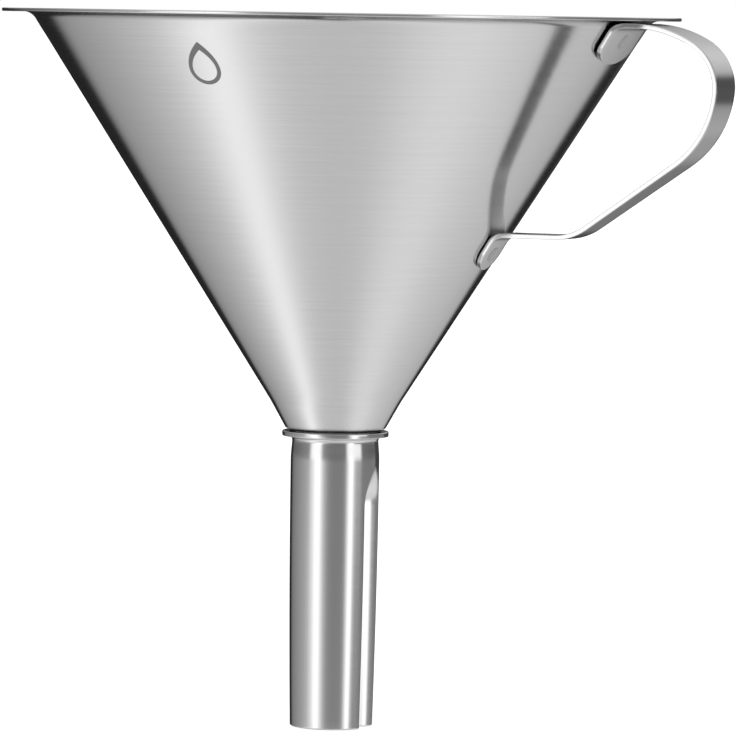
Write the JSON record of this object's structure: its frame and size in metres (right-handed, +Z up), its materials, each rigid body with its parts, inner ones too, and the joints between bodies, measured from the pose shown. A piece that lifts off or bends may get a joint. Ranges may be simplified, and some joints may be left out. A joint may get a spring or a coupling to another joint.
{
  "type": "bottle-filling funnel",
  "caption": "Spun steel kitchen funnel: a wide cone with a flat rim, a narrow spout with a vent groove under a collar, and a strap handle.",
  "frame": {"origin": "on the axis, in the plane of the collar's underside, which rests on a bottle's mouth", "axes": "+Z up the axis to the rim, +X towards the handle"},
  "size_m": [0.1437, 0.13, 0.1372],
  "materials": {
    "cone_steel": "satin, turned brushing lines round the axis",
    "spout_steel": "satin, finely polished along its length",
    "strap_steel": "satin, brushed lengthwise, tumbled edges",
    "spot_weld_steel": "pressed and matt",
    "neck_weld_steel": "as welded"
  },
  "bodies": {
    "root": {"cone_body": "cone_steel", "spout_tube": "spout_steel", "handle_strap": "strap_steel", "upper_spot_weld": "spot_weld_steel", "lower_spot_weld": "spot_weld_steel", "neck_weld_ring": "neck_weld_steel"}
  },
  "joints": []
}
